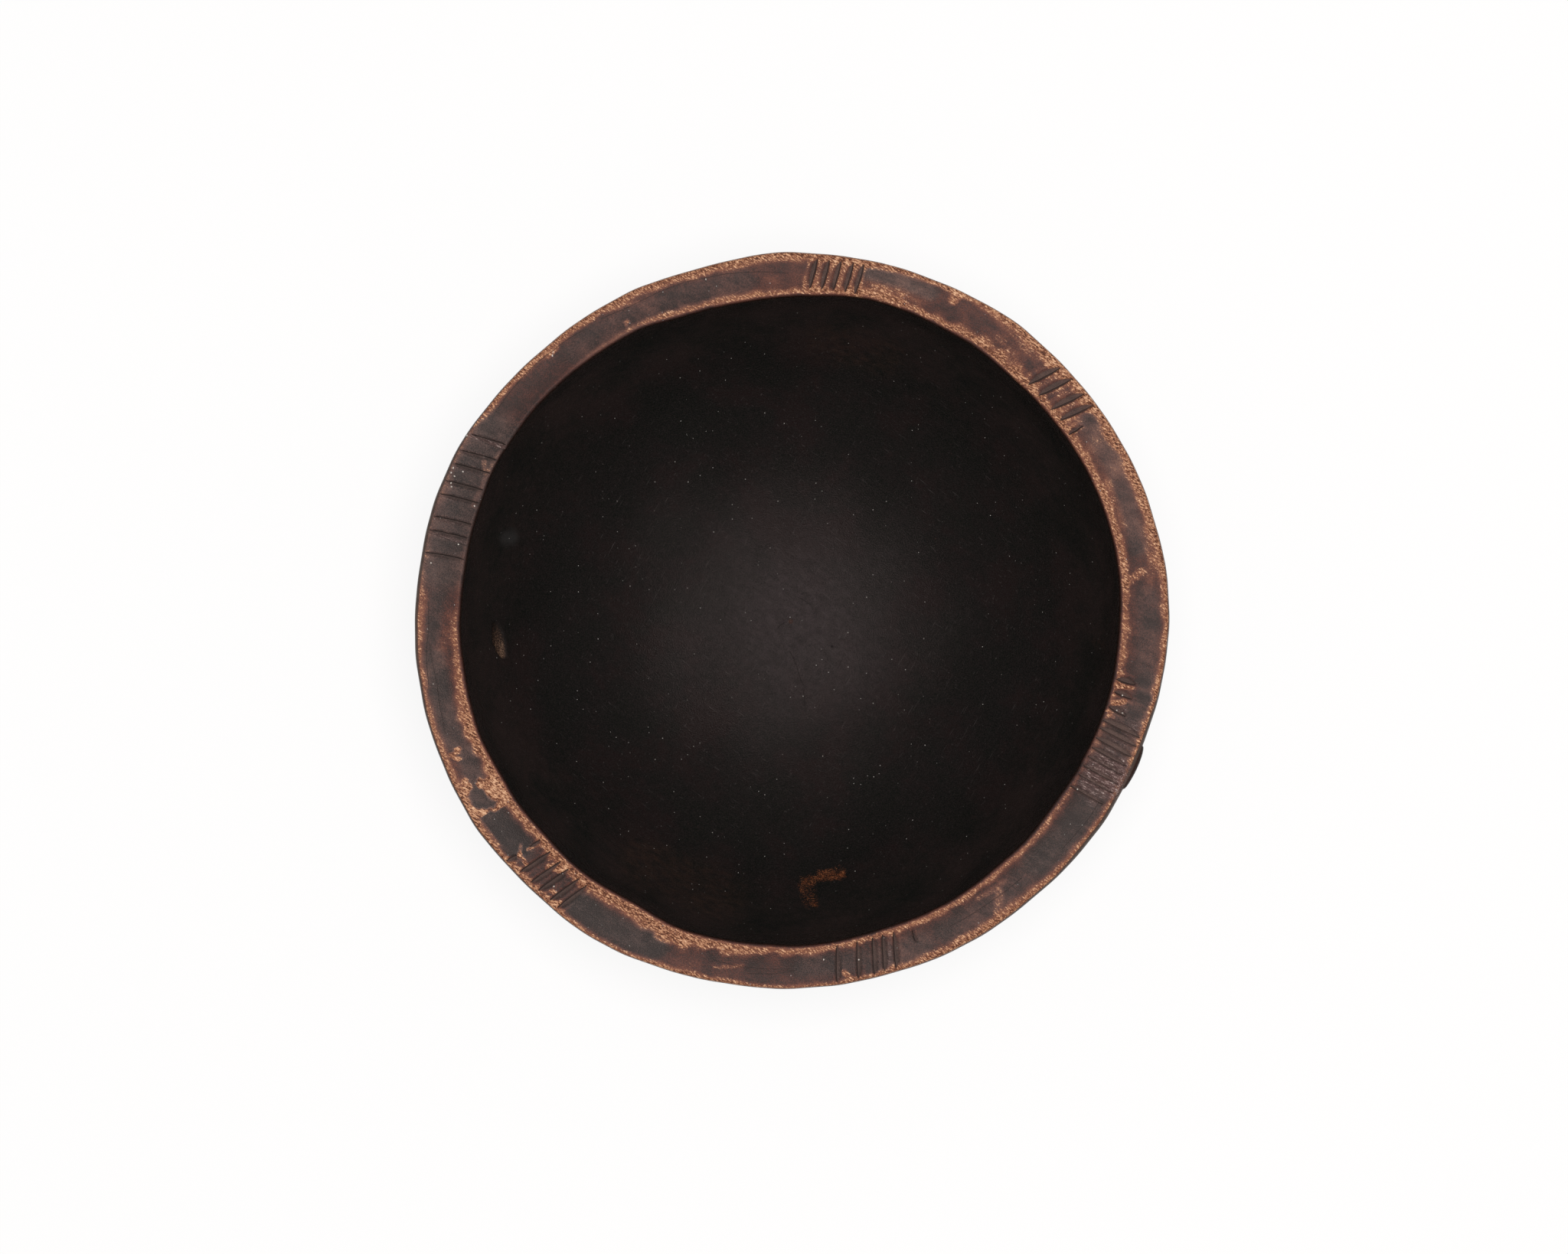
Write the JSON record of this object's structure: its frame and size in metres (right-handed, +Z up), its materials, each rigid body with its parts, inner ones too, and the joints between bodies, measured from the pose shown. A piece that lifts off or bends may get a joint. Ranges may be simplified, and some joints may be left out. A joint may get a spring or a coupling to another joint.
{
  "type": "hand-carved wooden dish",
  "caption": "Deep round dish carved from one block of dark hardwood, with a broad flat rim crossed by groups of knife cuts and a low lug under the rim",
  "frame": {"origin": "middle of the flat foot that the dish stands on, level with the table", "axes": "+Z up; seen from above, +X is to the right and +Y to the top of the picture's view; the low lug under the rim lies at 23 degrees clockwise from +X"},
  "size_m": [0.1521, 0.1485, 0.058],
  "materials": {
    "dark_hardwood": "blackened and rubbed smooth inside, dark red-brown patina on the rim, worn to bare tan wood along the rim's edges, satin"
  },
  "bodies": {
    "root": {"bowl": "dark_hardwood"}
  },
  "joints": []
}
